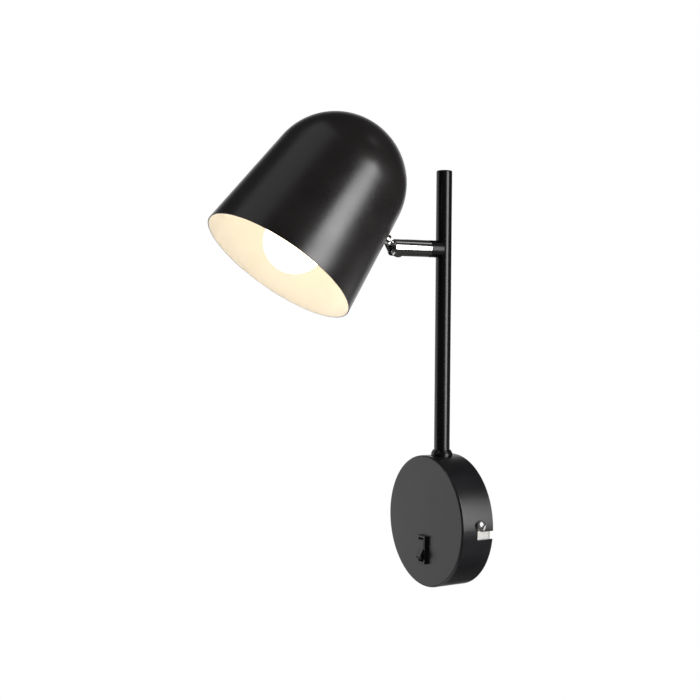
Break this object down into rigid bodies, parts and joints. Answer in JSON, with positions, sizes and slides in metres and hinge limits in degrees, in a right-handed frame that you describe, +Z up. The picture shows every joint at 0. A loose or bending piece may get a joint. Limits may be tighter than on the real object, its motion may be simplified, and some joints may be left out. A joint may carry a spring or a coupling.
{
  "type": "wall reading lamp",
  "caption": "Wall reading lamp: round wall canopy with rocker switch, upright rod, swivelling barrel and a tilting bell shade with its bulb.",
  "frame": {"origin": "centre of the round canopy on the wall plane", "axes": "+Z up along the rod, -Y out of the wall, +X to the right seen from the room"},
  "size_m": [0.118, 0.2, 0.3527],
  "materials": {
    "satin_black": "satin",
    "shade_paint": "satin",
    "bright_chrome": "polished",
    "zinc": "plated",
    "black_plastic": "semi-gloss",
    "natural_nylon": "matt",
    "brass": "plain",
    "holder_plastic": "matt",
    "opal_glass": "opal",
    "lamp_cap": "plain",
    "cap_insulator": "glossy",
    "blue_lead": "matt",
    "brown_lead": "matt",
    "earth_lead": "matt",
    "black_cable": "matt"
  },
  "bodies": {
    "root": {"wall_bracket": "zinc", "canopy": "satin_black", "canopy_screws": "zinc", "terminal_block": "natural_nylon", "terminal_tubes": "brass", "clamp_screws": "brass", "block_screws": "zinc", "earth_lug": "zinc", "earth_screw": "zinc", "switch_frame": "black_plastic", "switch_terminals": "brass", "rod_collar": "satin_black", "rod_nipple": "zinc", "saddle_washer": "zinc", "lock_washer": "zinc", "rod_nut": "zinc", "rod_tube": "satin_black", "rod_cap": "satin_black", "branch_boss": "satin_black", "swivel_spindle": "zinc", "swivel_washer": "zinc", "neutral_lead": "blue_lead", "switched_lead": "brown_lead", "live_lead": "brown_lead", "earth_lead": "earth_lead"},
    "rocker": {"switch_rocker": "black_plastic"},
    "barrel": {"swivel_barrel": "bright_chrome", "pivot_screw": "bright_chrome", "friction_washers": "zinc", "joint_cable": "black_cable"},
    "head": {"tilt_tongue": "bright_chrome", "stub_washer": "zinc", "stub_nut": "zinc", "shade": "shade_paint", "lampholder_bracket": "zinc", "lampholder_body": "holder_plastic", "lampholder_sleeve": "brass", "lampholder_contact": "brass", "lampholder_nipple": "zinc", "lampholder_nut": "zinc", "head_cable": "black_cable"},
    "bulb": {"bulb_glass": "opal_glass", "bulb_cap": "lamp_cap", "bulb_insulator": "cap_insulator", "bulb_tip": "brass"}
  },
  "joints": [
    {"name": "barrel_swivel", "type": "hinge", "parent": "root", "child": "barrel", "pos_m": [0, -0.045, 0.207], "axis": [0, -1, 0], "range_deg": [-170, 170]},
    {"name": "head_tilt", "type": "hinge", "parent": "barrel", "child": "head", "pos_m": [0, -0.0536, 0.207], "axis": [-1, 0, 0], "range_deg": [-68, 33], "deforming": ["joint_cable"]},
    {"name": "bulb_unscrew", "type": "slide", "parent": "head", "child": "bulb", "axis": [0, -0.6011, -0.7992], "range_m": [0, 0.026]},
    {"name": "switch_rock", "type": "hinge", "parent": "root", "child": "rocker", "pos_m": [0, -0.02662, -0.0215], "axis": [1, 0, 0], "range_deg": [0, 28]}
  ]
}
